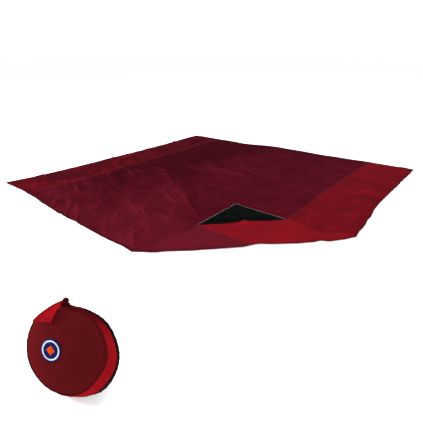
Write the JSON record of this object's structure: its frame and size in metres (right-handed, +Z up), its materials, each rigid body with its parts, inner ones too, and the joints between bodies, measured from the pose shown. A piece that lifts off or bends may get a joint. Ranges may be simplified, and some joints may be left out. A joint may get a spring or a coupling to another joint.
{
  "type": "beach blanket",
  "caption": "Square beach blanket of three sewn cloth panels with corner sand pockets, one corner folded over, beside its round zip pouch.",
  "frame": {"origin": "on the ground under the centre of the square blanket", "axes": "+Z up; +Y along the panel seams, away from the folded corner's front edge; +X across the panels, towards the folded corner"},
  "size_m": [2.13, 2.7526, 0.2567],
  "materials": {
    "burgundy_cloth": "satin",
    "red_cloth": "satin",
    "seam_cloth": "satin",
    "dark_hem": "satin",
    "pocket_cloth": "satin",
    "zip_tape": "matte",
    "zip_coil": "matte",
    "zip_metal": "satin",
    "badge_navy": "matte",
    "badge_white": "matte",
    "badge_orange": "matte"
  },
  "bodies": {
    "blanket": {"centre_panel": "burgundy_cloth", "left_panel": "red_cloth", "right_panel": "red_cloth", "left_seam": "seam_cloth", "right_seam": "seam_cloth", "front_hem": "dark_hem", "right_hem": "dark_hem", "back_hem": "dark_hem", "left_hem": "dark_hem", "front_left_pocket": "pocket_cloth", "back_left_pocket": "pocket_cloth", "back_right_pocket": "pocket_cloth"},
    "corner_flap": {"flap_centre_panel": "burgundy_cloth", "flap_side_panel": "red_cloth", "flap_seam": "seam_cloth", "flap_front_hem": "dark_hem", "flap_right_hem": "dark_hem", "flap_pocket": "pocket_cloth"},
    "pouch_back": {"pouch_back_panel": "burgundy_cloth", "hinge_strip": "red_cloth", "zip_back_tape": "zip_tape", "zip_back_coil": "zip_coil", "zip_stops": "zip_metal"},
    "pouch_front": {"gusset": "red_cloth", "pouch_face": "burgundy_cloth", "zip_front_tape": "zip_tape", "zip_front_coil": "zip_coil", "badge_ground": "badge_navy", "badge_ring": "badge_white", "badge_diamond": "badge_orange", "tab_anchor": "red_cloth"},
    "slider": {"zip_slider": "zip_metal"},
    "pull": {"zip_pull": "zip_metal"},
    "tab": {"carry_tab": "red_cloth"}
  },
  "joints": [
    {"name": "corner_fold", "type": "hinge", "parent": "blanket", "child": "corner_flap", "pos_m": [0.6975, -0.6975, 0.006], "axis": [0.7071, 0.7071, 0], "range_deg": [0, 180]},
    {"name": "pouch_lift", "type": "slide", "parent": "blanket", "child": "pouch_back", "axis": [0, 0, 1], "range_m": [0, 0.3]},
    {"name": "pouch_open", "type": "hinge", "parent": "pouch_back", "child": "pouch_front", "pos_m": [0.62864, -1.61892, 0.16223], "axis": [-0.3034, -0.5311, -0.7912], "range_deg": [0, 150]},
    {"name": "zipper_slide", "type": "hinge", "parent": "pouch_back", "child": "slider", "pos_m": [0.7305, -1.5973, 0.10867], "axis": [0.3875, -0.8273, 0.4067], "range_deg": [0, 286]},
    {"name": "pull_swing", "type": "hinge", "parent": "slider", "child": "pull", "pos_m": [0.62485, -1.65387, 0.09427], "axis": [-0.3875, 0.8273, -0.4067], "range_deg": [0, 160]},
    {"name": "tab_lift", "type": "hinge", "parent": "pouch_front", "child": "tab", "pos_m": [0.69875, -1.59082, 0.23962], "axis": [0.2101, 0.5089, 0.8348], "range_deg": [0, 140]}
  ]
}
